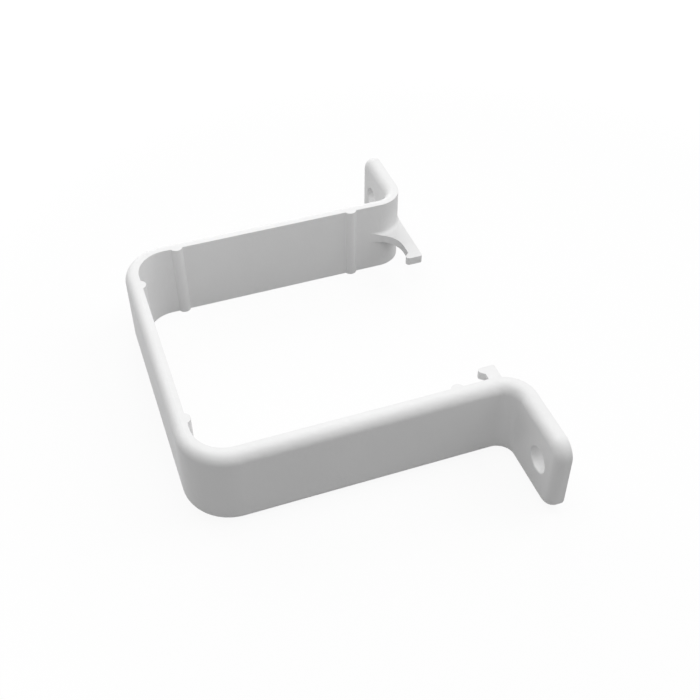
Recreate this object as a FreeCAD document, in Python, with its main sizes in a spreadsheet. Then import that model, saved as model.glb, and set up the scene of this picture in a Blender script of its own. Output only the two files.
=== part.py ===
# Square pipe clip: one moulded piece that holds a square downpipe against a wall.
# The wall is the plane Y = 0, the pipe runs along Z, and the web is at the front, towards -Y.
import FreeCAD, Part
import Sketcher
import math
import os

doc = FreeCAD.newDocument("square_pipe_clip")

# Driving dimensions, in millimetres
dimensions = [
    ("pipe_width", 65.0, "outside width of the square pipe"),
    ("pipe_clearance", 0.25, "gap between the pipe and each rib"),
    ("hook_clearance", 1.5, "gap between the back of the pipe and the hooks"),
    ("clip_height", 20.0, "height of the band along the pipe"),
    ("band_wall", 3.4, "thickness of the band and its ears"),
    ("corner_radius", 7.5, "inside radius of the two front corners"),
    ("bend_radius", 7.0, "back radius where an arm turns into its ear"),
    ("edge_rounding", 2.2, "rounding of the outside edges"),
    ("ear_reach", 20.6, "length of an ear beyond its arm"),
    ("ear_corner_radius", 4.0, "rounding of the two corners of an ear"),
    ("screw_hole", 6.0, "diameter of the screw hole in each ear"),
    ("screw_inset", 7.35, "distance of a screw from the end of its ear"),
    ("hole_rounding", 0.3, "rounding of the front edge of a screw hole"),
    ("rib_height", 1.0, "how far a rib stands out of the band"),
    ("rib_radius", 1.55, "radius of the round front of a rib"),
    ("rib_inset", 9.6, "distance of a rib from the corner of the pipe"),
    ("hook_thickness", 2.15, "height of a hook along the pipe"),
    ("hook_drop", 0.5, "how far the middle of a hook lies below the middle of the clip"),
    ("hook_neck", 3.1, "thickness of a hook at its thinnest"),
    ("hook_run", 3.1, "how far a hook runs along its arm past the bend"),
    ("hook_root", 1.0, "radius of the blend from the top of a hook to its arm"),
    ("hook_back_corner", 0.6, "rounding of the tip of a hook at the wall"),
    ("neck_run", 3.0, "length of the straight neck of a hook"),
    ("toe_depth", 4.25, "thickness of a hook at its toe"),
    ("toe_width", 2.25, "width of the toe of a hook"),
    ("toe_nose", 0.85, "rounding of the nose of the toe"),
]

# Places that follow from the driving dimensions
places = [
    ("arm_inside", "=pipe_width / 2 + pipe_clearance + rib_height", "inside of an arm, from the middle"),
    ("web_inside", "=rib_height + pipe_clearance + pipe_width + hook_clearance + toe_depth",
     "inside of the web, from the wall"),
    ("ear_end", "=arm_inside + band_wall + ear_reach", "end of an ear, from the middle"),
    ("bend_side", "=arm_inside + bend_radius", "axis of a bend, from the middle"),
    ("bend_middle", "=bend_radius - band_wall / 2", "radius halfway through the wall of a bend"),
    ("screw_side", "=ear_end - screw_inset", "axis of a screw, from the middle"),
    ("rib_across", "=pipe_width / 2 - rib_inset", "rib in the web, from the middle"),
    ("rib_front", "=web_inside + rib_radius - rib_height", "centre of a rib in the web, from the wall"),
    ("rib_side", "=arm_inside + rib_radius - rib_height", "centre of a rib in an arm, from the middle"),
    ("rib_by_wall", "=web_inside - arm_inside - rib_across", "rib of an arm by the wall, from the wall"),
    ("rib_by_web", "=web_inside - arm_inside + rib_across", "rib of an arm by the web, from the wall"),
    ("hook_bottom", "=-hook_drop - hook_thickness / 2", "underside of a hook"),
    ("hook_top", "=hook_bottom + hook_thickness", "top of a hook"),
    ("hollow_depth", "=bend_radius + hook_run", "centre of the hollow of a hook, from the wall"),
    ("hollow_radius", "=hollow_depth - hook_neck", "radius of the hollow of a hook"),
    ("hollow_side", "=arm_inside - hollow_radius", "centre of the hollow, from the middle"),
    ("toe_side", "=hollow_side - neck_run", "foot of the toe, from the middle"),
    ("hook_tip", "=toe_side - toe_width", "tip of a hook, from the middle"),
    ("nose_depth", "=toe_depth - toe_nose", "centre of the nose, from the wall"),
    ("past_tip", "=hook_tip - toe_depth", "where the blend of a hook is well clear of its tip"),
]

sheet = doc.addObject("Spreadsheet::Sheet", "sizes")
for row, (name, value, meaning) in enumerate(dimensions + places, start=1):
    sheet.set(f"A{row}", meaning)
    sheet.set(f"B{row}", str(value))
    sheet.setAlias(f"B{row}", name)
doc.recompute()

body = doc.addObject("PartDesign::Body", "pipe_clip")
body.Label = "pipe_clip"

start_point, end_point, centre_point = range(1, 4)
x_axis, y_axis = range(-1, -3, -1)
origin = (x_axis, start_point)
touch = 0.01


def plane(role):
    return next(feature for feature in body.Origin.OriginFeatures if feature.Role == role)


def add_sketch(name, role, offset=None):
    sketch = body.newObject("Sketcher::SketchObject", name)
    sketch.AttachmentSupport = [(plane(role), "")]
    sketch.MapMode = "FlatFace"
    if offset:
        sketch.setExpression("AttachmentOffset.Base.z", offset)
    return sketch


def line(sketch, first, last):
    return sketch.addGeometry(Part.LineSegment(FreeCAD.Vector(*first, 0), FreeCAD.Vector(*last, 0)))


def circle(centre, radius):
    return Part.Circle(FreeCAD.Vector(*centre, 0), FreeCAD.Vector(0, 0, 1), radius)


def arc(sketch, centre, radius, first, last):
    turn = (math.radians(first), math.radians(last))
    return sketch.addGeometry(Part.ArcOfCircle(circle(centre, radius), *turn))


def join(sketch, kind, *groups):
    for group in groups:
        sketch.addConstraint(Sketcher.Constraint(kind, *group))


def drive(sketch, size, kind, *where):
    number = sketch.addConstraint(Sketcher.Constraint(kind, *where, getattr(sheet, size)))
    sketch.setExpression(f"Constraints[{number}]", f"sizes.{size}")


def drive_across(sketch, size, hand, piece):
    # the centre of a piece lies to the right of the middle (hand 1) or to the left (hand -1)
    centre = (piece, centre_point)
    drive(sketch, size, "DistanceX", *(origin + centre if hand > 0 else centre + origin))


def add_pad(name, sketch, length):
    pad = body.newObject("PartDesign::Pad", name)
    pad.Profile = sketch
    pad.setExpression("Length", length)
    return pad


def add_mirror(name, originals):
    mirror = body.newObject("PartDesign::Mirrored", name)
    mirror.Originals = originals
    mirror.MirrorPlane = (plane("YZ_Plane"), [""])
    body.Tip = mirror
    return mirror


def add_fillet(name, base, edges, radius):
    fillet = body.newObject("PartDesign::Fillet", name)
    fillet.Base = (base, edges)
    fillet.setExpression("Radius", radius)
    return fillet


# Right half of the band, seen from above: web, front corner, arm, bend and ear
inside = sheet.arm_inside
web = sheet.web_inside
wall = sheet.band_wall
corner = sheet.corner_radius
bend = sheet.bend_radius
side = sheet.bend_side
end = sheet.ear_end
corner_at = (inside - corner, -web + corner)
bend_at = (side, -bend)
band_plan = add_sketch("band_plan", "XY_Plane", "-sizes.clip_height / 2")
web_front = line(band_plan, (0, -web - wall), (inside - corner, -web - wall))
corner_front = arc(band_plan, corner_at, corner + wall, 270, 360)
arm_front = line(band_plan, (inside + wall, -web + corner), (inside + wall, -bend))
bend_front = arc(band_plan, bend_at, bend - wall, 90, 180)
ear_front = line(band_plan, (side, -wall), (end, -wall))
ear_tip = line(band_plan, (end, -wall), (end, 0))
ear_back = line(band_plan, (end, 0), (side, 0))
bend_back = arc(band_plan, bend_at, bend, 90, 180)
arm_back = line(band_plan, (inside, -bend), (inside, -web + corner))
corner_back = arc(band_plan, corner_at, corner, 270, 360)
web_back = line(band_plan, (inside - corner, -web), (0, -web))
middle = line(band_plan, (0, -web), (0, -web - wall))
join(band_plan, "Tangent",
     (web_front, end_point, corner_front, start_point), (corner_front, end_point, arm_front, start_point),
     (arm_front, end_point, bend_front, end_point), (bend_front, start_point, ear_front, start_point),
     (ear_back, end_point, bend_back, start_point), (bend_back, end_point, arm_back, start_point),
     (arm_back, end_point, corner_back, end_point), (corner_back, start_point, web_back, start_point))
join(band_plan, "Coincident",
     (ear_front, end_point, ear_tip, start_point), (ear_tip, end_point, ear_back, start_point),
     (web_back, end_point, middle, start_point), (middle, end_point, web_front, start_point),
     (corner_back, centre_point, corner_front, centre_point),
     (bend_back, centre_point, bend_front, centre_point))
join(band_plan, "Horizontal", (web_front,), (ear_front,), (web_back,))
join(band_plan, "Vertical", (arm_front,), (ear_tip,), (arm_back,))
join(band_plan, "PointOnObject",
     (ear_back, start_point, x_axis), (ear_back, end_point, x_axis),
     (middle, start_point, y_axis), (middle, end_point, y_axis))
drive(band_plan, "arm_inside", "DistanceX", *origin, arm_back, start_point)
drive(band_plan, "ear_end", "DistanceX", *origin, ear_tip, end_point)
drive(band_plan, "web_inside", "DistanceY", middle, start_point, *origin)
drive(band_plan, "band_wall", "DistanceY", ear_tip, start_point, ear_tip, end_point)
drive(band_plan, "corner_radius", "Radius", corner_back)
drive(band_plan, "bend_radius", "Radius", bend_back)
half_band = add_pad("half_band", band_plan, "sizes.clip_height")
doc.recompute()
band = add_mirror("band", [half_band])
doc.recompute()

# Rounded ear corners, then one rounding all along the outside edges
half_height = sheet.clip_height / 2
outside_pieces = (web_front, corner_front, arm_front, bend_front, ear_front)
outside_line = Part.Wire([band_plan.Geometry[piece].toShape() for piece in outside_pieces])


def corner_edges(shape):
    names = []
    for number, edge in enumerate(shape.Edges, start=1):
        spots = edge.discretize(3)
        if all(abs(abs(spot.x) - end) < touch and abs(abs(spot.z) - half_height) < touch for spot in spots):
            names.append(f"Edge{number}")
    return names


def outside_edges(shape):
    # edges over the outside line, without the upright seams between its pieces
    names = []
    for number, edge in enumerate(shape.Edges, start=1):
        spots = [FreeCAD.Vector(abs(spot.x), spot.y, 0) for spot in edge.discretize(3)]
        seam = spots[0].distanceToPoint(spots[-1]) < touch and spots[0].x < end - touch
        over = all(outside_line.distToShape(Part.Vertex(spot))[0] < touch for spot in spots)
        if over and not seam:
            names.append(f"Edge{number}")
    return names


ear_corners = add_fillet("ear_corners", band, corner_edges(band.Shape), "sizes.ear_corner_radius")
doc.recompute()
rounded_edges = outside_edges(ear_corners.Shape)
rounded_band = add_fillet("rounded_band", ear_corners, rounded_edges, "sizes.edge_rounding")
doc.recompute()

# Crush ribs: upright half-round bars on the inside of the band, none on the right arm by the web
rib_plan = add_sketch("rib_plan", "XY_Plane", "-sizes.clip_height / 2")


def rib(hand, across, depth, first):
    # half a disc with its flat face buried in the band, and its arc from the angle first
    centre = (hand * getattr(sheet, across), -getattr(sheet, depth))
    round_face = arc(rib_plan, centre, sheet.rib_radius, first, first + 180)
    arc_end = rib_plan.getPoint(round_face, end_point)
    arc_start = rib_plan.getPoint(round_face, start_point)
    flat_face = line(rib_plan, (arc_end.x, arc_end.y), (arc_start.x, arc_start.y))
    join(rib_plan, "Coincident",
         (round_face, end_point, flat_face, start_point), (round_face, start_point, flat_face, end_point))
    join(rib_plan, "PointOnObject", (round_face, centre_point, flat_face))
    join(rib_plan, "Horizontal" if first == 0 else "Vertical", (flat_face,))
    drive(rib_plan, "rib_radius", "Radius", round_face)
    drive(rib_plan, depth, "DistanceY", round_face, centre_point, *origin)
    drive_across(rib_plan, across, hand, round_face)


rib(-1, "rib_side", "rib_by_wall", -90)
rib(-1, "rib_side", "rib_by_web", -90)
rib(1, "rib_side", "rib_by_wall", 90)
rib(-1, "rib_across", "rib_front", 0)
rib(1, "rib_across", "rib_front", 0)
ribs = add_pad("ribs", rib_plan, "sizes.clip_height")
doc.recompute()

# Right hook, seen from above: back on the wall, hollow towards the arm, toe towards the pipe
# It is first made as thick as its blend, and rooted in the middle of the band's wall
hollow = sheet.hollow_radius
hollow_at = (sheet.hollow_side, -sheet.hollow_depth)
foot = (sheet.toe_side, -sheet.hook_neck)
tip = sheet.hook_tip
nose = sheet.toe_nose
nose_at = (tip + nose, -sheet.nose_depth)
back = sheet.hook_back_corner
foot_rise = math.atan2(foot[1] - nose_at[1], foot[0] - nose_at[0])
flank_turn = foot_rise - math.acos(nose / math.dist(foot, nose_at))
flank_end = (nose_at[0] + nose * math.cos(flank_turn), nose_at[1] + nose * math.sin(flank_turn))
hook_plan = add_sketch("hook_plan", "XY_Plane", "sizes.hook_bottom")
hook_back = line(hook_plan, (tip + back, 0), (side, 0))
in_ear = line(hook_plan, (side, 0), (side, -wall / 2))
in_bend = arc(hook_plan, bend_at, sheet.bend_middle, 90, 180)
in_arm = line(hook_plan, (inside + wall / 2, -bend), (inside + wall / 2, hollow_at[1]))
arm_end = line(hook_plan, (inside + wall / 2, hollow_at[1]), (inside, hollow_at[1]))
hollow_arc = arc(hook_plan, hollow_at, hollow, 0, 90)
neck = line(hook_plan, (hollow_at[0], foot[1]), foot)
toe_flank = line(hook_plan, foot, flank_end)
toe_nose = arc(hook_plan, nose_at, nose, 180, 360 + math.degrees(flank_turn))
toe_end = line(hook_plan, (tip, nose_at[1]), (tip, -back))
back_corner = arc(hook_plan, (tip + back, -back), back, 90, 180)
join(hook_plan, "Coincident",
     (hook_back, end_point, in_ear, start_point), (in_ear, end_point, in_bend, start_point),
     (in_arm, end_point, arm_end, start_point), (arm_end, end_point, hollow_arc, start_point),
     (neck, end_point, toe_flank, start_point))
join(hook_plan, "Tangent",
     (in_bend, end_point, in_arm, start_point), (hollow_arc, end_point, neck, start_point),
     (toe_flank, end_point, toe_nose, end_point), (toe_nose, start_point, toe_end, start_point),
     (toe_end, end_point, back_corner, end_point), (back_corner, start_point, hook_back, start_point))
join(hook_plan, "Horizontal", (arm_end,), (neck,), (arm_end, end_point, hollow_arc, centre_point))
join(hook_plan, "Vertical", (in_ear,), (in_arm,), (toe_end,), (in_bend, start_point, in_bend, centre_point))
join(hook_plan, "PointOnObject", (hook_back, start_point, x_axis), (hook_back, end_point, x_axis))
drive_across(hook_plan, "bend_side", 1, in_bend)
drive(hook_plan, "bend_radius", "DistanceY", in_bend, centre_point, *origin)
drive(hook_plan, "bend_middle", "Radius", in_bend)
drive_across(hook_plan, "hollow_side", 1, hollow_arc)
drive(hook_plan, "hollow_depth", "DistanceY", hollow_arc, centre_point, *origin)
drive(hook_plan, "hollow_radius", "Radius", hollow_arc)
drive(hook_plan, "toe_side", "DistanceX", *origin, toe_flank, start_point)
drive(hook_plan, "hook_tip", "DistanceX", *origin, toe_end, start_point)
drive(hook_plan, "nose_depth", "DistanceY", toe_nose, centre_point, *origin)
drive(hook_plan, "toe_nose", "Radius", toe_nose)
drive(hook_plan, "hook_back_corner", "Radius", back_corner)
hook = add_pad("hook", hook_plan, "sizes.hook_thickness + sizes.hook_root")
doc.recompute()

# Blend from the top of the hook up to its arm: one hollow section, turned about the axis of the bend
# and run straight along the arm
top = sheet.hook_top
root = sheet.hook_root
past = sheet.past_tip
blend_plan = add_sketch("blend_plan", "XZ_Plane", "sizes.bend_radius")
blend_round = arc(blend_plan, (inside - root, top + root), root, 270, 360)
blend_floor = line(blend_plan, (inside - root, top), (past, top))
blend_far = line(blend_plan, (past, top), (past, top + 2 * root))
blend_roof = line(blend_plan, (past, top + 2 * root), (inside, top + 2 * root))
blend_arm = line(blend_plan, (inside, top + 2 * root), (inside, top + root))
turn_axis = line(blend_plan, (side, top), (side, top + root))
blend_plan.toggleConstruction(turn_axis)
join(blend_plan, "Tangent",
     (blend_round, start_point, blend_floor, start_point), (blend_round, end_point, blend_arm, end_point))
join(blend_plan, "Coincident",
     (blend_floor, end_point, blend_far, start_point), (blend_far, end_point, blend_roof, start_point),
     (blend_roof, end_point, blend_arm, start_point))
join(blend_plan, "Horizontal",
     (blend_floor,), (blend_roof,), (turn_axis, start_point, blend_floor, start_point))
join(blend_plan, "Vertical", (blend_far,), (blend_arm,), (turn_axis,))
drive(blend_plan, "hook_root", "Radius", blend_round)
drive(blend_plan, "hook_top", "DistanceY", *origin, blend_floor, start_point)
drive(blend_plan, "arm_inside", "DistanceX", *origin, blend_arm, start_point)
drive(blend_plan, "past_tip", "DistanceX", *origin, blend_far, start_point)
drive(blend_plan, "hook_root", "DistanceY", blend_arm, end_point, blend_arm, start_point)
drive(blend_plan, "bend_side", "DistanceX", *origin, turn_axis, start_point)
drive(blend_plan, "hook_root", "DistanceY", turn_axis, start_point, turn_axis, end_point)
bend_blend = body.newObject("PartDesign::Groove", "bend_blend")
bend_blend.Profile = blend_plan
bend_blend.ReferenceAxis = (blend_plan, ["Axis0"])
bend_blend.Angle = 90
bend_blend.Reversed = True
doc.recompute()
arm_blend = body.newObject("PartDesign::Pocket", "arm_blend")
arm_blend.Profile = blend_plan
arm_blend.setExpression("Length", "sizes.hook_run")
arm_blend.Reversed = True
doc.recompute()
hooks = add_mirror("hooks", [hook, bend_blend, arm_blend])
doc.recompute()

# Screw holes, cut through the ears from the wall
screw_plan = add_sketch("screw_plan", "XZ_Plane")
for hand in (-1, 1):
    hole = screw_plan.addGeometry(circle((hand * sheet.screw_side, 0), sheet.screw_hole / 2))
    join(screw_plan, "PointOnObject", (hole, centre_point, x_axis))
    drive(screw_plan, "screw_hole", "Diameter", hole)
    drive_across(screw_plan, "screw_side", hand, hole)
screw_holes = body.newObject("PartDesign::Pocket", "screw_holes")
screw_holes.Profile = screw_plan
screw_holes.Type = "ThroughAll"
screw_holes.Reversed = True
doc.recompute()


def hole_edges(shape):
    # the front edge of each screw hole
    names = []
    for number, edge in enumerate(shape.Edges, start=1):
        centre = edge.CenterOfGravity
        at_screw = abs(abs(centre.x) - sheet.screw_side) < touch and abs(centre.z) < touch
        if edge.isClosed() and at_screw and abs(centre.y + wall) < touch:
            names.append(f"Edge{number}")
    return names


rounded_holes = add_fillet("rounded_holes", screw_holes, hole_edges(screw_holes.Shape), "sizes.hole_rounding")
doc.recompute()

# Each feature has built, each cut has cut, and the clip is one sound solid
for item in doc.Objects:
    if "Invalid" in item.State or "Error" in item.State:
        raise RuntimeError(f"{item.Label} did not build")
steps = ((hook, bend_blend), (bend_blend, arm_blend), (hooks, screw_holes), (screw_holes, rounded_holes))
for before, cut in steps:
    if cut.Shape.Volume > before.Shape.Volume - touch:
        raise RuntimeError(f"{cut.Label} cut nothing")
if body.Shape.isNull() or not body.Shape.isValid() or len(body.Shape.Solids) != 1:
    raise RuntimeError("the clip is not one sound solid")

os.makedirs("parts", exist_ok=True)
body.Shape.exportStep(f"parts/{body.Label}.step")
print(f"{body.Label}: {body.Shape.Volume:.1f} cubic mm, {len(body.Shape.Faces)} faces")
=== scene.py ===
# White square pipe clip: moulded plastic finish, pale floor, soft light and the camera
import math
import bpy
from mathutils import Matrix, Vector

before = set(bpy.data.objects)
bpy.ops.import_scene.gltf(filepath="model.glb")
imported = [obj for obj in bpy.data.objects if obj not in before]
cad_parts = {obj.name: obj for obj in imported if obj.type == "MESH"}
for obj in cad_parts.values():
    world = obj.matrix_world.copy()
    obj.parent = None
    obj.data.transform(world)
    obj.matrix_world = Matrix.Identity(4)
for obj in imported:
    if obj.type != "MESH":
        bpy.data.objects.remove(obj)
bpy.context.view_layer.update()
scene = bpy.context.scene
scene.view_settings.view_transform = "Standard"
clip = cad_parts["pipe_clip"]
mmPerMetre = 1000.0
plainWhite = (1.0, 1.0, 1.0, 1.0)
print("frame loaded:", len(clip.data.polygons), "faces on the clip")


class Wire:
    # a socket that can be added, taken away and multiplied like a number
    def __init__(self, tree, socket=None):
        self.tree = tree
        self.socket = socket

    def node(self, kind, settings, inputs, out=0):
        made = self.tree.nodes.new(kind)
        for name, value in settings.items():
            if name == "stops":  # a ramp's two stops, each a place and a grey
                for stop, (place, grey) in zip(made.color_ramp.elements, value):
                    stop.position = place
                    stop.color = (grey, grey, grey, 1.0)
            else:
                setattr(made, name, value)
        for name, value in inputs.items():
            if isinstance(value, Wire):
                self.tree.links.new(value.socket, made.inputs[name])
            else:
                made.inputs[name].default_value = value
        return Wire(self.tree, made.outputs[out] if made.outputs else None)

    def reckon(self, operation, first, second):
        return self.node("ShaderNodeMath", {"operation": operation}, {0: first, 1: second})

    def __add__(self, other):
        return self.reckon("ADD", self, other)

    def __radd__(self, other):
        return self.reckon("ADD", other, self)

    def __sub__(self, other):
        return self.reckon("SUBTRACT", self, other)

    def __rsub__(self, other):
        return self.reckon("SUBTRACT", other, self)

    def __mul__(self, other):
        return self.reckon("MULTIPLY", self, other)

    def __rmul__(self, other):
        return self.reckon("MULTIPLY", other, self)


def newMaterial(name):
    material = bpy.data.materials.new(name)
    material.use_nodes = True
    material.node_tree.nodes.clear()
    return material, Wire(material.node_tree)


whitePlastic = {
    "paleWhite": (0.885, 0.885, 0.885, 1.0),
    "deepWhite": (0.860, 0.860, 0.860, 1.0),
    "deepBelow": 0.32,       # where in the clouds the deep white ends
    "paleAbove": 0.68,       # and where the pale one begins
    # each noise has its waves per mm, its finer layers and its depth in mm
    "cloud": {"size": 0.06, "layers": 2.0},
    "grain": {"size": 3.2, "layers": 2.0, "depth": 0.022},
    "peel": {"size": 0.55, "layers": 1.0, "depth": 0.075},
    "draw": {"size": 2.4, "layers": 1.0, "depth": 0.004},
    "sink": {"size": 0.09, "layers": 0.0, "depth": 0.020},
    "layerShare": 0.55,      # how strong a finer layer is
    "middle": 0.5,           # what a noise comes to on average
    "drawn": (1.0, 1.0, 0.04),  # draw marks are long along the way out of the mould
    "edgeBreak": 0.00010,    # m, sharp edges look this round
    "edgeSamples": 6,
    "gloss": 0.47,           # roughness of the satin skin
    "cloudGloss": 0.10,      # how far the clouds change it
    "grainGloss": 0.06,      # how far the grain does
    "index": 1.52,           # of refraction
}


def makeWhitePlastic(v):
    material, w = newMaterial("white_plastic")
    place = w.node("ShaderNodeTexCoord", {}, {}, "Object")
    mm = w.node("ShaderNodeVectorMath", {"operation": "SCALE"},
                {"Vector": place, "Scale": mmPerMetre})
    drawn = w.node("ShaderNodeVectorMath", {"operation": "MULTIPLY"}, {0: mm, 1: v["drawn"]})

    def noise(name, at):
        return w.node("ShaderNodeTexNoise", {"noise_dimensions": "3D"},
                      {"Vector": at, "Scale": v[name]["size"], "Detail": v[name]["layers"],
                       "Roughness": v["layerShare"]}, "Fac")

    cloud, grain, peel, sink = [noise(name, mm) for name in ("cloud", "grain", "peel", "sink")]
    draw = noise("draw", drawn)

    patch = w.node("ShaderNodeValToRGB",
                   {"stops": [(v["deepBelow"], 0.0), (v["paleAbove"], 1.0)]}, {"Fac": cloud})
    white = w.node("ShaderNodeMix", {"data_type": "RGBA"},
                   {0: patch, 6: v["deepWhite"], 7: v["paleWhite"]}, 2)

    roughness = ((cloud - v["middle"]) * v["cloudGloss"]
                 + (grain - v["middle"]) * v["grainGloss"] + v["gloss"])
    height = (grain * v["grain"]["depth"] + peel * v["peel"]["depth"]
              + draw * v["draw"]["depth"] + sink * v["sink"]["depth"]) * (1.0 / mmPerMetre)
    edge = w.node("ShaderNodeBevel", {"samples": v["edgeSamples"]}, {"Radius": v["edgeBreak"]})
    bump = w.node("ShaderNodeBump", {},
                  {"Strength": 1.0, "Distance": 1.0, "Height": height, "Normal": edge})
    skin = w.node("ShaderNodeBsdfPrincipled", {},
                  {"Base Color": white, "Roughness": roughness, "Normal": bump,
                   "IOR": v["index"]})
    w.node("ShaderNodeOutputMaterial", {}, {"Surface": skin})
    return material


clipWhite = makeWhitePlastic(whitePlastic)
for slot in clip.material_slots:
    slot.material = clipWhite
print("white plastic on", len(clip.material_slots), "slots")

paleFloor = {
    "reach": 3.0,            # m from the middle to each side
    "height": -0.010,        # m, where the clip stands
    "bounce": (0.30, 0.30, 0.30, 1.0),  # what the floor throws back at the clip
    "seenNear": 0.70,        # how much of it shows as plain white under the clip
    "fadeFrom": 0.10,        # m from the middle, from here it turns all white
    "fadeTo": 0.40,
    "white": 1.30,           # how strong that white is
}


def seenStraight(w):
    # 1 on rays from the camera, or those that a gloss or a clear part sends on
    camera, gloss, through = [w.node("ShaderNodeLightPath", {}, {}, name) for name in
                              ("Is Camera Ray", "Is Glossy Ray", "Is Transmission Ray")]
    return w.reckon("MAXIMUM", w.reckon("MAXIMUM", camera, gloss), through)


def makeFloor(v):
    mesh = bpy.data.meshes.new("floor")
    r, z = v["reach"], v["height"]
    mesh.from_pydata([(-r, -r, z), (r, -r, z), (r, r, z), (-r, r, z)], [], [(0, 1, 2, 3)])
    floor = bpy.data.objects.new("floor", mesh)
    scene.collection.objects.link(floor)
    material, w = newMaterial("pale_floor")
    matt = w.node("ShaderNodeBsdfDiffuse", {}, {"Color": v["bounce"]})
    glow = w.node("ShaderNodeEmission", {}, {"Color": plainWhite, "Strength": v["white"]})
    place = w.node("ShaderNodeTexCoord", {}, {}, "Object")
    away = w.node("ShaderNodeVectorMath", {"operation": "LENGTH"}, {0: place}, "Value")
    fade = w.node("ShaderNodeMapRange", {"interpolation_type": "SMOOTHSTEP"},
                  {"Value": away, "From Min": v["fadeFrom"], "From Max": v["fadeTo"],
                   "To Min": v["seenNear"], "To Max": 1.0})
    both = w.node("ShaderNodeMixShader", {}, {0: seenStraight(w) * fade, 1: matt, 2: glow})
    w.node("ShaderNodeOutputMaterial", {}, {"Surface": both})
    mesh.materials.append(material)


makeFloor(paleFloor)
print("floor laid")

softLight = {
    "lamps": {  # places and widths in m, power in W
        "overhead": {"at": (0.03, -0.04, 0.15), "size": 0.06, "power": 0.043},
        "wallSide": {"at": (0.0, 0.67, 0.71), "size": 0.6, "power": 2.75},
        "farSide": {"at": (-0.88, -0.11, 0.45), "size": 1.1, "power": 4.95},
    },
    "aim": (0.0, -0.0377, 0.0),  # the middle of the clip
    "sky": 0.472,                # what the sky gives the clip, while it shows as plain white
}


def makeLight(v):
    for name, values in v["lamps"].items():
        data = bpy.data.lights.new(name, "AREA")
        data.shape = "SQUARE"
        data.size = values["size"]
        data.energy = values["power"]
        lamp = bpy.data.objects.new(name, data)
        scene.collection.objects.link(lamp)
        lamp.location = values["at"]
        way = Vector(v["aim"]) - Vector(values["at"])
        lamp.rotation_euler = way.to_track_quat("-Z", "Y").to_euler()
        lamp.visible_camera = False  # lights the clip, but never stands in the picture
    world = bpy.data.worlds.new("studio")
    world.use_nodes = True
    world.node_tree.nodes.clear()
    scene.world = world
    w = Wire(world.node_tree)
    strength = seenStraight(w) * (1.0 - v["sky"]) + v["sky"]
    sky = w.node("ShaderNodeBackground", {}, {"Color": plainWhite, "Strength": strength})
    w.node("ShaderNodeOutputWorld", {}, {"Surface": sky})


makeLight(softLight)
print("soft light set")

viewpoint = {
    "at": (0.17319, -0.08904, 0.16940),  # m
    "turn": (46.462, 0.106, 70.388),     # degrees
    "lens": 53.63,                       # mm
    "sensor": 36.0,                      # mm
    "seesFrom": 0.01,                    # m
    "seesTo": 20.0,
}


def makeCamera(v):
    data = bpy.data.cameras.new("camera")
    data.sensor_width = v["sensor"]
    data.lens = v["lens"]
    data.clip_start, data.clip_end = v["seesFrom"], v["seesTo"]
    camera = bpy.data.objects.new("camera", data)
    scene.collection.objects.link(camera)
    camera.location = v["at"]
    camera.rotation_euler = [math.radians(a) for a in v["turn"]]
    scene.camera = camera


makeCamera(viewpoint)
print("camera set")
